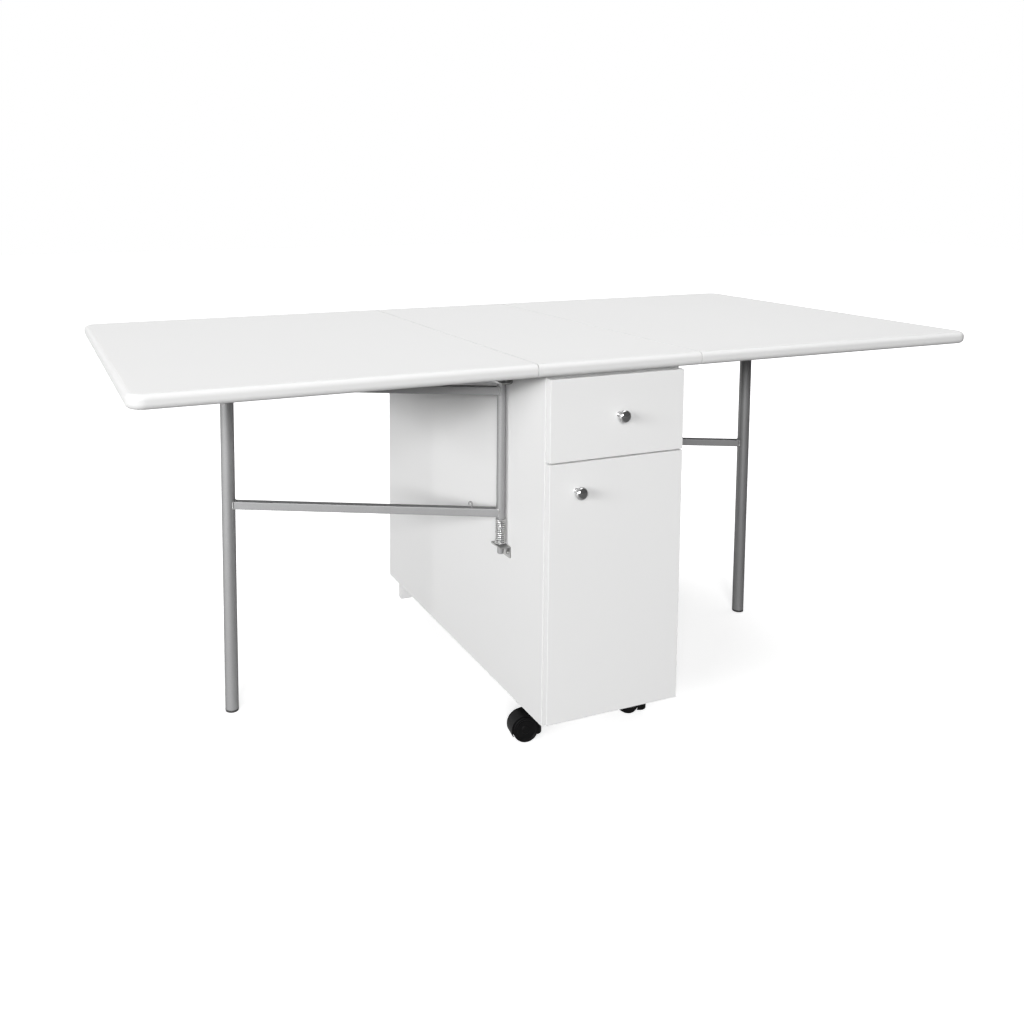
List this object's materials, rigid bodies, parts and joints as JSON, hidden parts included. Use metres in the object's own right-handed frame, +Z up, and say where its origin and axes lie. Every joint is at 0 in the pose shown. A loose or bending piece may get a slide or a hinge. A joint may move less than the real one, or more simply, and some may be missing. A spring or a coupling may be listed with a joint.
{
  "type": "extending drop-leaf table",
  "caption": "White drop-leaf table with a narrow cabinet, drawer and door, shown open on steel gate legs that swing out under its leaves.",
  "frame": {"origin": "on the floor under the middle of the whole part, the knobs' reach included", "axes": "+X along the open top, towards the right leaf; +Y away from the drawer and door; +Z up"},
  "size_m": [1.75, 0.855, 0.75],
  "materials": {
    "laminate": "satin",
    "drawer_floor": "satin",
    "painted_tube": "satin",
    "bright_steel": "satin",
    "knob_metal": "polished",
    "black_rubber": "matte",
    "black_plastic": "satin",
    "white_plastic": "satin"
  },
  "bodies": {
    "cabinet": {"centre_top": "laminate", "left_side_panel": "laminate", "right_side_panel": "laminate", "bottom_panel": "laminate", "back_panel": "laminate", "drawer_divider": "laminate", "top_rails": "laminate", "rear_plinth": "laminate", "drawer_runners": "white_plastic", "door_magnet": "white_plastic", "door_hinge_frame_plates": "bright_steel", "centre_hinge_plates": "bright_steel", "hinge_pins": "bright_steel", "left_pivot_rod": "bright_steel", "left_spring": "bright_steel", "left_lower_bracket": "bright_steel", "left_upper_bracket": "bright_steel", "right_pivot_rod": "bright_steel", "right_spring": "bright_steel", "right_lower_bracket": "bright_steel", "right_upper_bracket": "bright_steel", "bracket_screws": "bright_steel", "caster_plates": "bright_steel"},
    "left_leaf": {"left_leaf": "laminate", "left_leaf_hinge_plates": "bright_steel", "left_leg_stop": "white_plastic"},
    "right_leaf": {"right_leaf": "laminate", "right_leaf_hinge_plates": "bright_steel", "right_leg_stop": "white_plastic"},
    "drawer": {"drawer_front": "laminate", "drawer_left_side": "laminate", "drawer_right_side": "laminate", "drawer_back": "laminate", "drawer_bottom": "drawer_floor", "drawer_knob": "knob_metal"},
    "door": {"door_panel": "laminate", "door_hinge_door_plates": "bright_steel", "door_knob": "knob_metal", "door_strike": "bright_steel"},
    "left_gate": {"left_leg_tube": "painted_tube", "left_leg_plugs": "black_rubber", "left_post": "painted_tube", "left_lower_rail": "painted_tube", "left_upper_rail": "painted_tube", "left_catch_hook": "painted_tube"},
    "left_caster": {"left_caster_hood": "black_plastic", "left_caster_axle": "bright_steel"},
    "left_caster_near_wheel": {"left_caster_near_wheel": "black_plastic"},
    "left_caster_far_wheel": {"left_caster_far_wheel": "black_plastic"},
    "right_gate": {"right_leg_tube": "painted_tube", "right_leg_plugs": "black_rubber", "right_post": "painted_tube", "right_lower_rail": "painted_tube", "right_upper_rail": "painted_tube", "right_catch_hook": "painted_tube"},
    "right_caster": {"right_caster_hood": "black_plastic", "right_caster_axle": "bright_steel"},
    "right_caster_near_wheel": {"right_caster_near_wheel": "black_plastic"},
    "right_caster_far_wheel": {"right_caster_far_wheel": "black_plastic"}
  },
  "joints": [
    {"name": "left_leaf_lift", "type": "hinge", "parent": "cabinet", "child": "left_leaf", "pos_m": [-0.1747, 0.0075, 0.7225], "axis": [0, 1, 0], "range_deg": [0, 2]},
    {"name": "right_leaf_lift", "type": "hinge", "parent": "cabinet", "child": "right_leaf", "pos_m": [0.1747, 0.0075, 0.7225], "axis": [0, -1, 0], "range_deg": [0, 2]},
    {"name": "left_gate_swing", "type": "hinge", "parent": "cabinet", "child": "left_gate", "pos_m": [-0.157, -0.2375, 0.55], "axis": [0, 0, -1], "range_deg": [0, 62.5]},
    {"name": "right_gate_swing", "type": "hinge", "parent": "cabinet", "child": "right_gate", "pos_m": [0.157, 0.2525, 0.55], "axis": [0, 0, -1], "range_deg": [0, 62.5]},
    {"name": "drawer_slide", "type": "slide", "parent": "cabinet", "child": "drawer", "axis": [0, -1, 0], "range_m": [0, 0.35]},
    {"name": "door_swing", "type": "hinge", "parent": "cabinet", "child": "door", "pos_m": [0.1472, -0.3835, 0.318], "axis": [0, 0, 1], "range_deg": [0, 170]},
    {"name": "left_caster_swivel", "type": "hinge", "parent": "cabinet", "child": "left_caster", "pos_m": [-0.12, -0.3095, 0.05], "axis": [0, 0, 1], "continuous": true},
    {"name": "left_near_wheel_roll", "type": "hinge", "parent": "left_caster", "child": "left_caster_near_wheel", "pos_m": [-0.1397, -0.30603, 0.025], "axis": [-0.1736, -0.9848, 0], "continuous": true},
    {"name": "left_far_wheel_roll", "type": "hinge", "parent": "left_caster", "child": "left_caster_far_wheel", "pos_m": [-0.1397, -0.30603, 0.025], "axis": [-0.1736, -0.9848, 0], "continuous": true},
    {"name": "right_caster_swivel", "type": "hinge", "parent": "cabinet", "child": "right_caster", "pos_m": [0.12, -0.3095, 0.05], "axis": [0, 0, 1], "continuous": true},
    {"name": "right_near_wheel_roll", "type": "hinge", "parent": "right_caster", "child": "right_caster_near_wheel", "pos_m": [0.10853, -0.29312, 0.025], "axis": [-0.8192, -0.5736, 0], "continuous": true},
    {"name": "right_far_wheel_roll", "type": "hinge", "parent": "right_caster", "child": "right_caster_far_wheel", "pos_m": [0.10853, -0.29312, 0.025], "axis": [-0.8192, -0.5736, 0], "continuous": true}
  ]
}
